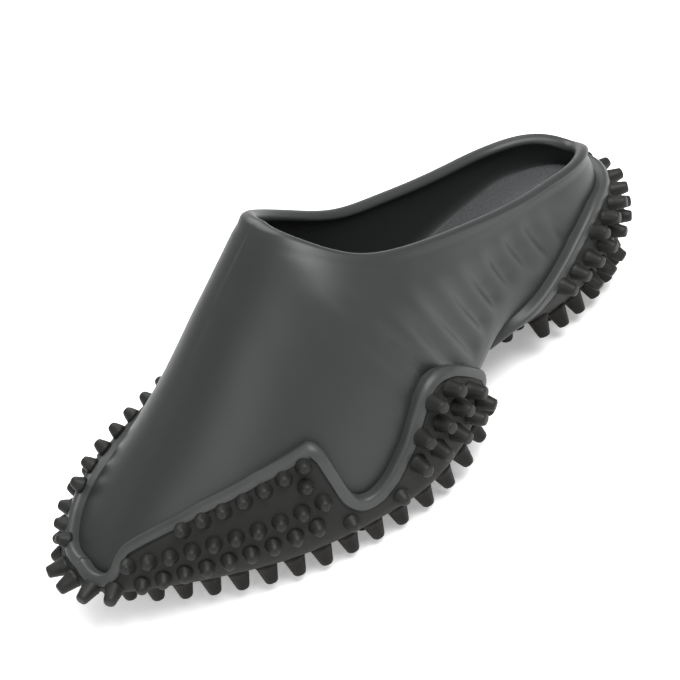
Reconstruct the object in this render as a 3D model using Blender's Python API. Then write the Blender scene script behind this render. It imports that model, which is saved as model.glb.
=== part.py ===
"""Left-foot moulded mule: hollow foam upper, two studded rubber outsoles and an insole.

The form is worked in millimetres: x runs from the back of the heel to the toe, y to the
wearer's left and z up from the floor. Meshes are made in metres, centred on the origin.
"""
import math

import bmesh
import bpy
import numpy as np
from mathutils import Matrix

MM = 0.001

# Driving dimensions, in millimetres
LENGTH = 276.0          # foam shell, back of the heel to the toe
HEEL_ROUND = 36.0       # how far the heel takes to reach full width
TOE_ROUND = 76.0        # how far the toe takes to narrow
TOE_POWER = 2.4         # bluntness of the toe seen from above
NOSE_TOP = 36.0         # length of the rounding over the toe
NOSE_UNDER = 30.0       # length of the rounding under the toe
TIP_HEIGHT = 22.0       # height of the toe's foremost point
THROAT = 163.0          # front edge of the collar
THROAT_ROUND = 36.0     # length of the collar's rounded front end
RIM_BACK = 50.0         # height of the collar at the back of the heel
WALL = 4.5              # foam wall
RUBBER = 2.3            # outsole thickness
GAP = 1.3               # clearance between the foam and the outsoles
SHRINK = 1.0            # the foam stands this far inside the form
TUCK = 1.4              # how far the foam toe draws back behind the rubber
INSOLE = 4.0            # footbed thickness
INSOLE_PLAY = 1.0       # footbed's clearance at its sides
INSOLE_LIFT = 0.8       # and under it
SOFT = 5.0              # rounding of the crest along the vamp
CORE = 15.0             # depth inside the edge from which the bottom's rounding is cast
STUD_SINK = 1.6         # depth of a stud's root in the rubber
FLOOR_LEVEL = 0.0       # height of the standing studs' flat tips
LEVEL_WITHIN = 0.9      # a lower stud tip than this is brought to the floor
LIP = 2.4               # rise of the rolled rim
LIP_THROAT = 4.5        # rise of the rim at the throat
LIP_TURNS = (45, 90, 135)
DEPTH = 16.0            # how far inside its chord a side is cast from
BEVEL = 3.0             # height of the bevelled border along an outsole's top
BEVEL_LEFT = 0.8        # rubber left at the border's thin edge
STUD_CLEAR = 0.4        # half the least clearance between two studs' roots
FIELD_STEP = 12.6       # rows of the studs under the sole
FIELD_ACROSS = 13.0     # studs in one row
FIELD_INSET = 11.0      # bare edge round that field
MERGE = 0.02            # points nearer than this are one
UPPER_COLUMNS = 26

# Studs: sides, root radius, tip radius, height
STUDS = {
    "bump": (6, 3.2, 1.6, 4.5),
    "spike": (6, 4.3, 2.6, 8.0),
    "edge": (6, 4.4, 2.4, 8.0),
    "heel": (6, 3.6, 2.3, 7.0),
}

# The form's cross-sections along the shoe
LAST_COLUMNS = ("x", "centre", "lateral", "medial", "under", "feather", "belly",
                "full_lateral", "full_medial", "crown_lateral", "crown_medial")
LAST = np.array([
    (0, -3.5, 31.5, 31.0, 12.0, 30.0, 3.0, 2.20, 2.20, 76.0, 76.0),
    (30, -2.5, 33.0, 31.5, 11.0, 29.5, 3.0, 2.15, 2.15, 84.0, 84.5),
    (60, 0.0, 35.5, 33.5, 11.3, 32.5, 2.7, 2.05, 2.05, 87.5, 90.0),
    (90, 2.5, 39.5, 35.0, 20.3, 37.5, 2.2, 1.95, 2.00, 94.0, 100.0),
    (115, 5.0, 46.5, 38.0, 18.3, 33.0, 2.2, 1.90, 1.95, 101.0, 111.0),
    (140, 7.5, 54.0, 43.5, 12.0, 24.0, 2.5, 1.87, 2.00, 107.5, 118.0),
    (160, 8.0, 55.0, 47.0, 11.0, 19.5, 3.0, 1.75, 1.85, 115.0, 116.5),
    (185, 6.5, 52.5, 47.5, 11.0, 19.0, 3.2, 1.65, 1.70, 99.0, 99.0),
    (215, 2.5, 46.5, 46.0, 12.0, 20.0, 3.2, 1.67, 1.65, 72.5, 72.5),
    (240, -3.5, 41.0, 45.5, 15.0, 21.0, 3.2, 1.72, 1.68, 52.0, 52.0),
    (258, -7.0, 37.0, 45.5, 17.7, 21.5, 3.2, 1.90, 1.87, 40.0, 40.0),
    (276, -8.0, 35.0, 44.5, 20.0, 22.5, 3.2, 2.00, 1.97, 32.0, 32.0),
], float)

# Height, and how far the heel's back leans forward there
BACK = np.array([(8, 10.0), (11, 6.5), (15, 3.2), (20, 1.2), (30, 0.0), (40, 0.0),
                 (50, 0.9), (60, 3.0), (90, 12.0)], float)

# x, and the collar's half width outside its rolled rim
RIM = np.array([(0, 26.5), (34, 28.5), (60, 29.5), (90, 30.5), (115, 31.5), (130, 31.0),
                (164.5, 33.0)], float)

# x, and the height of the foam under the footbed
FLOOR = np.array([(0, 37.0), (30, 36.5), (70, 34.5), (110, 29.0), (150, 23.0), (185, 20.5),
                  (225, 19.0), (255, 20.8), (276, 22.5)], float)

# Columns of the forefoot outsole, by x, closer where its top line turns
FORE_COLUMNS = np.array([117, 122, 129, 136, 143, 150, 158, 166, 174, 181, 186, 189.5, 193, 201,
                         212, 224, 236, 248, 257, 263, 266.5, 268.5, 270.5, 273, 275, 276], float)
HEEL_COLUMNS = np.array([0, 0.9, 3, 6.5, 11, 17, 24, 32, 41, 51, 61, 71, 80, 88, 95], float)

# Column x and height of the outsoles' top lines, for the lateral and the medial side
FORE_TOP = {
    1: np.array([(115, 30), (120, 38), (126, 45), (131, 50), (138, 53), (144, 53), (149, 51),
                 (157, 44), (164, 37), (168, 34), (174, 29), (179, 26), (184, 25), (187, 26),
                 (189, 31), (190, 40), (191.5, 51), (194, 55), (201, 55), (218, 51), (237, 46),
                 (252, 41), (264, 36), (266.5, 33.5), (268.5, 29), (270.5, 27), (273, 27.5), (276, 30)],
                float),
    -1: np.array([(115, 30), (120, 38), (126, 45), (131, 50), (138, 53), (144, 53), (149, 51),
                  (157, 44), (164, 37), (168, 34), (174, 29), (179, 26), (184, 25), (187, 26),
                  (189, 31), (190, 40), (191.5, 51), (194, 55), (201, 55), (218, 51), (237, 46),
                  (252, 41), (266, 35), (271, 33), (276, 30)], float),
}
HEEL_TOP = {
    1: np.array([(0, 44.0), (15, 45.5), (26, 46), (35, 43.5), (44, 39.5), (52, 36), (63, 32.5),
                 (74, 29.5), (84, 26), (95, 21)], float),
    -1: np.array([(0, 44.0), (15, 45.5), (26, 46), (35, 43.5), (44, 39.5), (52, 36), (63, 32.5),
                  (74, 29.5), (84, 26), (95, 21)], float),
}

# Rows of side studs: first and last distance round the outline from the back of the heel,
# spacing, first and last height (nought for an angle under the level), angle, kind, droop, sides
FORE_STUDS = (
    (143, 509, 10.4, 0, 0, -44, "edge", 0.5, "one"),
    (275, 217, 8.2, 38.5, 49.5, 0, "bump", 0.0, "both"),
    (299, 220, 8.2, 30.0, 33.0, 0, "bump", 0.1, "both"),
    (252, 221, 8.2, 38.5, 41.5, 0, "bump", 0.0, "both"),
    (296, 226, 8.2, 22.5, 25.0, 0, "bump", 0.2, "both"),
    (217, 195, 20.0, 20.0, 19.0, 0, "bump", 0.2, "both"),
    (171, 154, 8.6, 44.5, 43.5, 0, "heel", 0.1, "both"),
    (181, 148, 8.6, 36.0, 35.0, 0, "heel", 0.1, "both"),
    (186, 146, 8.6, 27.5, 27.0, 0, "heel", 0.2, "both"),
    (307, 347, 9.0, 22.0, 24.0, 0, "heel", 0.0, "one"),
)
HEEL_STUDS = (
    (-98, 98, 10.4, 0, 0, -66, "edge", 0.5, "one"),
    (-62, 62, 9.4, 36.0, 36.0, 0, "heel", 0.0, "one"),
    (-84, 84, 9.4, 27.5, 27.5, 0, "heel", 0.1, "one"),
    (-92, 92, 9.4, 18.5, 18.5, 0, "heel", 0.3, "one"),
)


def smooth(xs, ys, x):
    """A smooth curve through a table's points, level beyond its ends."""
    x = np.clip(np.asarray(x, float), xs[0], xs[-1])
    slope = np.gradient(ys, xs)
    k = np.clip(np.searchsorted(xs, x, side="right") - 1, 0, len(xs) - 2)
    gap = xs[k + 1] - xs[k]
    t = (x - xs[k]) / gap
    rise = (-2 * t**3 + 3 * t**2) * (ys[k + 1] - ys[k])
    return ys[k] + rise + gap * ((t**3 - 2 * t**2 + t) * slope[k] + (t**3 - t**2) * slope[k + 1])


def last(name, x):
    return smooth(LAST[:, 0], LAST[:, LAST_COLUMNS.index(name)], x)


def by_side(name, x, side):
    return np.where(side > 0, last(name + "_lateral", x), last(name + "_medial", x))


def closing(x, off, zone, power):
    """From 1 to 0 over the last stretch before the toe, off mm outside the form."""
    t = np.clip((x - LENGTH + zone) / (zone + off), 0, 1)
    return np.sqrt(1 - t**power)


def feather(x):
    """Height of the widest level."""
    t = np.clip((x - LENGTH + NOSE_TOP) / NOSE_TOP, 0, 1) ** 2
    return last("feather", x) * (1 - t) + TIP_HEIGHT * t


def widest(x, side, off, lift):
    """Height of the widest level, or in the foot's space a level over its floor."""
    level = feather(x)
    if lift is None:
        return level
    low = smooth(FLOOR[:, 0], FLOOR[:, 1], x) + lift
    room = by_side("crown", x, side) + off - low
    return np.maximum(level, low + np.minimum(9, 0.45 * room))


def half_width(x, z, side, off):
    w = np.where(side > 0, last("lateral", x), last("medial", x)) + off
    t = np.clip((x - smooth(BACK[:, 0], BACK[:, 1], z) + off) / (HEEL_ROUND + off), 0, 1)
    return w * np.sqrt(1 - (1 - t) ** 2) * closing(x, off, TOE_ROUND, TOE_POWER)


def outside(p, off=0.0, lift=None):
    """Below nought inside the form, above nought outside it.

    off moves the skin outward. With lift the form is the foot's space, which stands
    that far above the foam floor.
    """
    x, y, z = p[..., 0], p[..., 1], p[..., 2]
    centre = last("centre", x)
    side = np.where(y >= centre, 1, -1)
    middle = widest(x, side, off, lift)
    low = last("under", x) - off
    belly = last("belly", x)
    if lift is not None:
        low = smooth(FLOOR[:, 0], FLOOR[:, 1], x) + lift
        belly = 3.5
    up = (by_side("crown", x, side) + off - middle) * closing(x, off, NOSE_TOP, 2.0)
    down = (middle - low) * closing(x, off, NOSE_UNDER, 2.0)
    power = np.where(z >= middle, by_side("full", x, side), belly)
    height = np.maximum(np.where(z >= middle, up, down), 1e-6)
    width = np.maximum(half_width(x, z, side, off), 1e-6)
    across = (np.hypot(y - centre, SOFT) - SOFT + 1e-3) / (np.hypot(width, SOFT) - SOFT + 1e-6)
    return across**power + (np.abs(z - middle) / height) ** power - 1


def reach(start, way, off=0.0, lift=None, far=160.0):
    """Where rays from inside the form meet its skin."""
    near = np.zeros(start.shape[:-1])
    far = np.full(start.shape[:-1], far)
    for _ in range(32):
        half = (near + far) / 2
        within = outside(start + way * half[..., None], off, lift) < 0
        near = np.where(within, half, near)
        far = np.where(within, far, half)
    return start + way * near[..., None]


def facing(p, off=0.0, lift=None):
    """The skin's outward direction."""
    g = np.zeros_like(p)
    for k in range(3):
        d = np.zeros(3)
        d[k] = 0.3
        g[..., k] = outside(p + d, off, lift) - outside(p - d, off, lift)
    return g / np.linalg.norm(g, axis=-1, keepdims=True)


def outline(x, side, off=0.0, lift=None):
    """Points of the widest level, and their outward directions seen from above."""
    def at(x):
        z = widest(x, side, off, lift)
        return np.stack([x, last("centre", x) + side * half_width(x, z, side, off), z], -1)

    back = -off
    front = LENGTH + off
    p = at(x)
    a = at(np.clip(x - 0.4, back + 0.02, front))
    b = at(np.clip(x + 0.4, back, front - 0.02))
    along = b - a
    n = np.stack([-side * along[..., 1], side * along[..., 0], 0 * x], -1)
    n[x <= back + 0.05] = (-1, 0, 0)
    n[x >= front - 0.05] = (1, 0, 0)
    return p, n / np.linalg.norm(n, axis=-1, keepdims=True)


def fan(x, side, low, high, rows, off=0.0, lift=None):
    """Skin points fanned from inside the edge, between two angles above the level."""
    p, n = outline(x, side, off, lift)
    core = p - n * CORE
    turn = low + (high - low) * np.linspace(0, 1, rows)[:, None]
    way = n[None] * np.cos(turn)[..., None] + np.array([0, 0, 1.0]) * np.sin(turn)[..., None]
    return reach(np.broadcast_to(core, way.shape), way, off, lift)


def angle_for(x, side, height, off=0.0, lift=None):
    """The fan angle at which the skin has a given height."""
    low = np.full(x.shape, math.radians(-89))
    high = np.full(x.shape, math.radians(80))
    for _ in range(18):
        half = (low + high) / 2
        z = fan(x, side, half, half, 1, off, lift)[0, :, 2]
        low = np.where(z < height, half, low)
        high = np.where(z < height, high, half)
    return (low + high) / 2


def rim(share, side):
    """The collar's outer edge, from the back at 0 to the throat at 1."""
    back = float(smooth(BACK[:, 0], BACK[:, 1], RIM_BACK))
    x = back + (THROAT - back) * (1 - np.cos(np.pi * share)) / 2
    w = smooth(RIM[:, 0], RIM[:, 1], x)
    heel = 1 - np.clip((x - back) / HEEL_ROUND, 0, 1)
    throat = np.clip((x - THROAT) / THROAT_ROUND + 1, 0, 1)
    y = last("centre", x) + side * w * np.sqrt(1 - heel**2) * np.sqrt(1 - throat**2)
    start = np.stack([x, y, feather(x) + 8], -1)
    return reach(start, np.broadcast_to([0.0, 0.0, 1.0], start.shape))


def rim_facing(share, side):
    """The skin's outward direction along the collar's outer edge."""
    n = facing(rim(share, side))
    n[[0, -1], 1] = 0
    return n / np.linalg.norm(n, axis=-1, keepdims=True)


def rim_inner(share, side):
    """The collar's inner edge, one wall inside the outer one."""
    return rim(share, side) - rim_facing(share, side) * WALL


def lip_rows(share, side):
    """The rolled top between the collar's two edges."""
    a = rim(share, side)
    b = rim_inner(share, side)
    along = np.gradient(a, axis=0)
    along[0] = along[-1] = (0, side, 0)
    up = np.cross(along, b - a)
    up /= np.linalg.norm(up, axis=-1, keepdims=True)
    up *= np.where(up[:, 2:] < 0, -1, 1)
    rise = (LIP + (LIP_THROAT - LIP) * share**6)[:, None]
    out = []
    for turn in LIP_TURNS:
        turn = math.radians(turn)
        out.append((a + b) / 2 - (b - a) / 2 * math.cos(turn) + up * rise * math.sin(turn))
    return np.array(out)


def side_rows(share, side, rows, off=0.0, lift=None):
    """Skin points from the widest level up to the collar's edge."""
    x = -off + (LENGTH + 2 * off) * (1 - np.cos(np.pi * share)) / 2
    a, n = outline(x, side, off, lift)
    b = rim(share, side) if lift is None else rim_inner(share, side)
    m = rim_facing(share, side)
    out = [a]
    for t in np.linspace(0, 1, rows + 1)[1:-1]:
        way = n * (1 - t) + m * t
        way /= np.linalg.norm(way, axis=-1, keepdims=True)
        depth = DEPTH * math.sin(math.pi * t) + 4 * t
        out.append(reach(a + (b - a) * t - way * depth, way, off, lift))
    out.append(b)
    return np.array(out)


def spine(x, side, off=0.0, lift=None):
    """The middle line between the two sides' innermost bottom points."""
    down = math.radians(-90)
    a = fan(x, 1, down, down, 1, off, lift)[0]
    b = fan(x, -1, down, down, 1, off, lift)[0]
    start = (a + b) / 2
    start[:, 2] += 6
    return reach(start, np.broadcast_to([0.0, 0.0, -1.0], start.shape), off, lift)


def pair(rows_for, back=True, front=True):
    """Both sides' rows, sharing their points where the sides meet."""
    lateral = np.array(rows_for(1))
    medial = np.array(rows_for(-1))
    if back:
        medial[:, 0] = lateral[:, 0]
    if front:
        medial[:, -1] = lateral[:, -1]
    return lateral, medial


class Skin:
    """Collects points and faces of one body."""

    def __init__(self):
        self.points = []
        self.faces = []

    def sheet(self, rows):
        """Adds a grid of points joined by quads, and gives the points' numbers."""
        rows = np.asarray(rows, float)
        numbers = len(self.points) + np.arange(rows[..., 0].size).reshape(rows.shape[:-1])
        self.points.extend(rows.reshape(-1, 3).tolist())
        self.join(numbers)
        return numbers

    def join(self, numbers):
        for low, high in zip(numbers[:-1], numbers[1:]):
            for a, b, c, d in zip(low[:-1], low[1:], high[1:], high[:-1]):
                self.faces.append((int(a), int(b), int(c), int(d)))


def body(name, skin):
    """One closed mesh with its points merged and its faces turned outward."""
    mesh = bpy.data.meshes.new(name)
    points = [[v * MM for v in p] for p in skin.points]
    mesh.from_pydata(points, [], skin.faces)
    item = bpy.data.objects.new(name, mesh)
    bpy.context.collection.objects.link(item)
    work = bmesh.new()
    work.from_mesh(mesh)
    bmesh.ops.remove_doubles(work, verts=work.verts, dist=MERGE * MM)
    bmesh.ops.recalc_face_normals(work, faces=work.faces)
    if work.calc_volume(signed=True) < 0:
        bmesh.ops.reverse_faces(work, faces=work.faces)
    work.to_mesh(mesh)
    work.free()
    return item


def paint(item, colour, roughness):
    material = bpy.data.materials.new(item.name)
    material.use_nodes = True
    shader = material.node_tree.nodes["Principled BSDF"]
    shader.inputs["Base Color"].default_value = colour
    shader.inputs["Roughness"].default_value = roughness
    material.diffuse_color = colour
    item.data.materials.clear()
    item.data.materials.append(material)


def upper():
    """The foam shell: outside, rolled rim and inside as one skin."""
    share = np.linspace(0, 1, UPPER_COLUMNS + 1)
    outer_x = SHRINK + (LENGTH - 2 * SHRINK) * (1 - np.cos(np.pi * share)) / 2
    inner_x = WALL + (LENGTH - 2 * WALL) * (1 - np.cos(np.pi * share)) / 2
    low = math.radians(-90)
    high = math.radians(-12)

    def rows_for(side):
        rows = [spine(outer_x, side, -SHRINK)]
        rows.extend(fan(outer_x, side, low, high, 5, -SHRINK))
        rows.extend(side_rows(share, side, 7, -SHRINK))
        rows.extend(lip_rows(share, side))
        rows.extend(side_rows(share, side, 5, -WALL, 0.0)[::-1])
        rows.extend(fan(inner_x, side, low, high, 5, -WALL, 0.0)[::-1])
        rows.append(spine(inner_x, side, -WALL, 0.0))
        rows = np.array(rows)
        low_toe = np.clip((rows[..., 0] - 262) / 14, 0, 1) * np.clip((28 - rows[..., 2]) / 3, 0, 1)
        rows[:13, :, 0] -= TUCK * low_toe[:13]
        return rows

    skin = Skin()
    for rows in pair(rows_for):
        skin.sheet(rows)
    return body("upper", skin)


def insole():
    """The footbed, fitted into the rounded bottom of the foot's space."""
    share = np.linspace(0, 1, UPPER_COLUMNS + 1)
    off = -WALL - INSOLE_PLAY
    x = -off + (LENGTH + 2 * off) * (1 - np.cos(np.pi * share)) / 2

    def cover(points):
        out = points.copy()
        out[:, 2] = smooth(FLOOR[:, 0], FLOOR[:, 1], out[:, 0]) + INSOLE_LIFT + INSOLE
        return out

    def rows_for(side):
        middle = spine(x, side, off, INSOLE_LIFT)
        top = smooth(FLOOR[:, 0], FLOOR[:, 1], x) + INSOLE_LIFT + INSOLE
        for _ in range(3):
            edge = angle_for(x, side, top, off, INSOLE_LIFT)
            top = cover(fan(x, side, edge, edge, 1, off, INSOLE_LIFT)[0])[:, 2]
        rows = [middle]
        rows.extend(fan(x, side, math.radians(-90), edge, 5, off, INSOLE_LIFT))
        rows.append(cover(rows[-1] + (middle - rows[-1]) * 0.3))
        rows.append(cover(middle))
        return rows

    skin = Skin()
    for rows in pair(rows_for):
        skin.sheet(rows)
    return body("insole", skin)


def outsole(name, columns, grow, top, at_toe):
    """A rubber shell on the form's skin, from the bottom up to its top line."""
    off = GAP + RUBBER
    thin = GAP + BEVEL_LEFT
    down = math.radians(-90)

    def outer_for(side):
        line = np.interp(columns, top[side][:, 0], top[side][:, 1])
        x = grow(columns, off)
        rows = [spine(x, side, off)]
        rows.extend(fan(x, side, down, angle_for(x, side, line - BEVEL, off), 8, off))
        x = grow(columns, thin)
        edge = angle_for(x, side, line, thin)
        rows.extend(fan(x, side, edge, edge, 1, thin))
        return rows

    def inner_for(side):
        line = np.interp(columns, top[side][:, 0], top[side][:, 1])
        x = grow(columns, GAP)
        rows = [spine(x, side, GAP)]
        rows.extend(fan(x, side, down, angle_for(x, side, line, GAP), 9, GAP))
        return rows

    skin = Skin()
    outer_sides = pair(outer_for, not at_toe, at_toe)
    inner_sides = pair(inner_for, not at_toe, at_toe)
    for outer, inner in zip(outer_sides, inner_sides):
        a = skin.sheet(outer)
        b = skin.sheet(inner)
        skin.join(np.array([a[-1], b[-1]]))
        end = 0 if at_toe else -1
        skin.join(np.array([a[:, end], b[:, end]]))
    return body(name, skin)


def grow_fore(x, off):
    start = FORE_COLUMNS[0]
    return start + (x - start) * (LENGTH + off - start) / (LENGTH - start)


def grow_heel(x, off):
    end = HEEL_COLUMNS[-1]
    return -off + x * (end + off) / end


def walk():
    """Distances along the outline from the back of the heel, for each side."""
    x = LENGTH * (1 - np.cos(np.linspace(0, np.pi, 900))) / 2
    out = {}
    for side in (1, -1):
        p = outline(x, side)[0]
        steps = np.linalg.norm(np.diff(p[:, :2], axis=0), axis=1)
        out[side] = (np.concatenate([[0], np.cumsum(steps)]), x)
    return out


def column(path, places):
    """Sides and x for distances round the outline, beyond either end on the medial side."""
    whole = path[1][0][-1]
    medial = (places > whole) | (places < 0)
    turned = np.where(places > whole, whole + path[-1][0][-1] - places, np.abs(places))
    x = np.where(medial, np.interp(turned, *path[-1]), np.interp(turned, *path[1]))
    return np.where(medial, -1, 1), x


def stud(points, faces, root, way, kind):
    """A tapered stud with a flat tip, sunk a little into the rubber."""
    sides, foot, tip, height = STUDS[kind]
    way = way / np.linalg.norm(way)
    across = np.cross(way, (1.0, 0.0, 0.0) if abs(way[0]) < 0.8 else (0.0, 0.0, 1.0))
    across /= np.linalg.norm(across)
    other = np.cross(way, across)
    start = len(points)
    for along, radius in ((-STUD_SINK, foot), (height, tip)):
        for k in range(sides):
            turn = 2 * math.pi * (k + 0.5) / sides
            spread = across * math.cos(turn) + other * math.sin(turn)
            points.append(list(root + way * along + spread * radius))
    faces.append(tuple(start + k for k in reversed(range(sides))))
    faces.append(tuple(start + sides + k for k in range(sides)))
    for k in range(sides):
        n = (k + 1) % sides
        faces.append((start + k, start + n, start + sides + n, start + sides + k))


def row_places(path, first, end, low, high, angle):
    """Roots and outward directions of a row, closely spaced."""
    off = GAP + RUBBER
    places = np.arange(first, end, 1.2 if end > first else -1.2)
    heights = low + (high - low) * (places - first) / (end - first)
    sides, x = column(path, places)
    x = -off + x * (LENGTH + 2 * off) / LENGTH
    roots = np.zeros((len(x), 3))
    for side in (1, -1):
        here = sides == side
        if not here.any():
            continue
        turn = np.full(here.sum(), math.radians(angle))
        if low:
            turn = angle_for(x[here], side, heights[here], off)
        roots[here] = fan(x[here], side, turn, turn, 1, off)[0]
    return roots, facing(roots, off)


def crowded(taken, root, radius):
    return any(np.linalg.norm(root - other) < radius + far for other, far in taken)


def side_studs(points, faces, taken, path, rows):
    """Rows of studs round the edge, square to the rubber."""
    whole = path[1][0][-1] + path[-1][0][-1]
    for first, end, spacing, low, high, angle, kind, droop, sides in rows:
        runs = [(first, end)]
        if sides == "both":
            runs.append((whole - first, whole - end))
        for begin, finish in runs:
            roots, ways = row_places(path, begin, finish, low, high, angle)
            before = None
            for root, way in zip(roots, ways):
                if before is not None and np.linalg.norm(root - before) < spacing:
                    continue
                before = root
                if crowded(taken, root, STUDS[kind][1] + STUD_CLEAR):
                    continue
                taken.append((root, STUDS[kind][1] + STUD_CLEAR))
                way = way - (0, 0, droop)
                stud(points, faces, root, way, kind)


def floor_studs(points, faces, taken, first, end, inset):
    """A staggered field of upright studs under the sole."""
    off = GAP + RUBBER
    radius = STUDS["spike"][1] + STUD_CLEAR
    height = STUDS["spike"][3]
    for k, x in enumerate(np.arange(first, end, FIELD_STEP)):
        centre = float(last("centre", x))
        for n in range(-5, 6):
            y = centre + (n + 0.5 * (k % 2)) * FIELD_ACROSS
            start = np.array([[x, y, float(feather(x))]])
            if outside(start, -inset)[0] >= 0:
                continue
            root = reach(start, np.array([[0.0, 0.0, -1.0]]), off)[0]
            if root[2] - height < LEVEL_WITHIN:
                root[2] = FLOOR_LEVEL + height
            if crowded(taken, root, radius):
                continue
            taken.append((root, radius))
            stud(points, faces, root, np.array([0.0, 0.0, -1.0]), "spike")


def studded(item, points, faces):
    """Joins the studs and their outsole into one closed body."""
    mesh = bpy.data.meshes.new(item.name + "_studs")
    mesh.from_pydata([[v * MM for v in p] for p in points], [], faces)
    tool = bpy.data.objects.new(item.name + "_studs", mesh)
    bpy.context.collection.objects.link(tool)
    work = bmesh.new()
    work.from_mesh(mesh)
    bmesh.ops.recalc_face_normals(work, faces=work.faces)
    work.to_mesh(mesh)
    work.free()
    join = item.modifiers.new("studs", "BOOLEAN")
    join.operation = "UNION"
    join.solver = "EXACT"
    join.object = tool
    view = bpy.context.evaluated_depsgraph_get()
    done = bpy.data.meshes.new_from_object(item.evaluated_get(view))
    item.modifiers.remove(join)
    item.data = done
    bpy.data.objects.remove(tool)


for old in list(bpy.data.objects):
    bpy.data.objects.remove(old)

path = walk()
bodies = [upper(), insole()]

forefoot = outsole("outsole_forefoot", FORE_COLUMNS, grow_fore, FORE_TOP, True)
points = []
faces = []
taken = []
side_studs(points, faces, taken, path, FORE_STUDS)
floor_studs(points, faces, taken, 134.0, 262.0, FIELD_INSET)
studded(forefoot, points, faces)

heel = outsole("outsole_heel", HEEL_COLUMNS, grow_heel, HEEL_TOP, False)
points = []
faces = []
taken = []
side_studs(points, faces, taken, path, HEEL_STUDS)
floor_studs(points, faces, taken, 17.0, 86.0, FIELD_INSET)
studded(heel, points, faces)
bodies.extend([forefoot, heel])

corners = np.array([v.co for item in bodies for v in item.data.vertices])
middle = (corners.min(axis=0) + corners.max(axis=0)) / 2
for item in bodies:
    item.data.transform(Matrix.Translation((-middle[0], -middle[1], -corners[:, 2].min())))

paint(bodies[0], (0.050, 0.056, 0.055, 1), 0.5)
paint(bodies[1], (0.060, 0.060, 0.064, 1), 0.9)
paint(bodies[2], (0.034, 0.037, 0.033, 1), 0.6)
paint(bodies[3], (0.034, 0.037, 0.033, 1), 0.6)
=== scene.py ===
"""Looks for the left-foot moulded mule: dense smooth skins, round studs, materials and light."""
import math

import bmesh
import bpy
import numpy as np
from mathutils import Matrix, Vector
from mathutils.kdtree import KDTree


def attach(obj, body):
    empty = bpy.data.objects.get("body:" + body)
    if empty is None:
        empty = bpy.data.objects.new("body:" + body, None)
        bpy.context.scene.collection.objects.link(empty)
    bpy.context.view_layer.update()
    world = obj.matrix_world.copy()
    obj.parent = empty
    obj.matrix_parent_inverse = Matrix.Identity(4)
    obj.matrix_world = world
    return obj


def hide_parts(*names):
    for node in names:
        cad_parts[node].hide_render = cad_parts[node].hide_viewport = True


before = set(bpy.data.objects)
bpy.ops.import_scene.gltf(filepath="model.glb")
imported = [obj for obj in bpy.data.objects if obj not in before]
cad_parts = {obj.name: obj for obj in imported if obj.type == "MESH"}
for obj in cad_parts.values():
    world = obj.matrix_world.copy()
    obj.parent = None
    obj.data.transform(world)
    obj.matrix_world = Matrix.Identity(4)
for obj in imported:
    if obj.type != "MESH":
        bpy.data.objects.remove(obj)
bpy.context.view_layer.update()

# Camera: the photo's angle to the shoe, rolled, as fitted to the photo's outlines
CAMERA_PLACE = (0.22196, 0.42763, 0.38492)
CAMERA_RIGHT = Vector((-0.74463, 0.59886, -0.29476))
CAMERA_UP = Vector((-0.55898, -0.31817, 0.76570))
CAMERA_LENS = 79.1      # in millimetres, on a sensor 36 mm wide
SENSOR = 36.0
NEAREST = 0.01
FARTHEST = 50.0

lens = bpy.data.cameras.new("camera")
lens.lens = CAMERA_LENS
lens.sensor_width = SENSOR
lens.clip_start = NEAREST
lens.clip_end = FARTHEST
camera = bpy.data.objects.new("camera", lens)
bpy.context.scene.collection.objects.link(camera)
camera_back = CAMERA_RIGHT.cross(CAMERA_UP).normalized()
camera_turn = Matrix((CAMERA_RIGHT, CAMERA_UP, camera_back)).transposed()
camera.matrix_world = Matrix.Translation(CAMERA_PLACE) @ camera_turn.to_4x4()
bpy.context.scene.camera = camera

# The shoe's form, the same as the solids' own.
# In millimetres: x from the back of the heel to the toe, y to the wearer's left, z up from
# the floor. Rays cast from inside it place every skin's points.
LENGTH = 276.0          # foam shell, back of the heel to the toe
HEEL_ROUND = 36.0       # how far the heel takes to reach full width
TOE_ROUND = 76.0        # how far the toe takes to narrow
TOE_POWER = 2.4         # bluntness of the toe seen from above
NOSE_TOP = 36.0         # length of the rounding over the toe
NOSE_UNDER = 30.0       # length of the rounding under the toe
TIP_HEIGHT = 22.0       # height of the toe's foremost point
THROAT = 163.0          # front edge of the collar
THROAT_ROUND = 36.0     # length of the collar's rounded front end
RIM_BACK = 50.0         # height of the collar at the back of the heel
WALL = 4.5              # foam wall
RUBBER = 2.3            # outsole thickness
GAP = 1.3               # clearance between the foam and the outsoles
SHRINK = 1.0            # the foam stands this far inside the form
TUCK = 1.4              # how far the foam toe draws back behind the rubber
INSOLE = 4.0            # footbed thickness
INSOLE_PLAY = 1.0       # footbed's clearance at its sides
INSOLE_LIFT = 0.8       # and under it
SOFT = 7.0              # rounding of the crest along the vamp
CORE = 15.0             # depth inside the edge from which the bottom's rounding is cast
FLOOR_LEVEL = 0.0       # height of the standing studs' flat tips
LEVEL_WITHIN = 0.9      # a lower stud tip than this is brought to the floor
LIP = 2.4               # rise of the rolled rim
LIP_THROAT = 4.5        # rise of the rim at the throat
DEPTH = 16.0            # how far inside its chord a side is cast from
STUD_CLEAR = 0.4        # half the least clearance between two studs' roots
FIELD_STEP = 12.6       # rows of the studs under the sole
FIELD_ACROSS = 13.0     # studs in one row
FIELD_INSET = 11.0      # bare edge round that field

# Studs: sides, root radius, tip radius, height
STUDS = {
    "bump": (6, 3.2, 1.6, 4.5),
    "spike": (6, 4.3, 2.6, 8.0),
    "edge": (6, 4.4, 2.4, 8.0),
    "heel": (6, 3.6, 2.3, 7.0),
}

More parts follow.
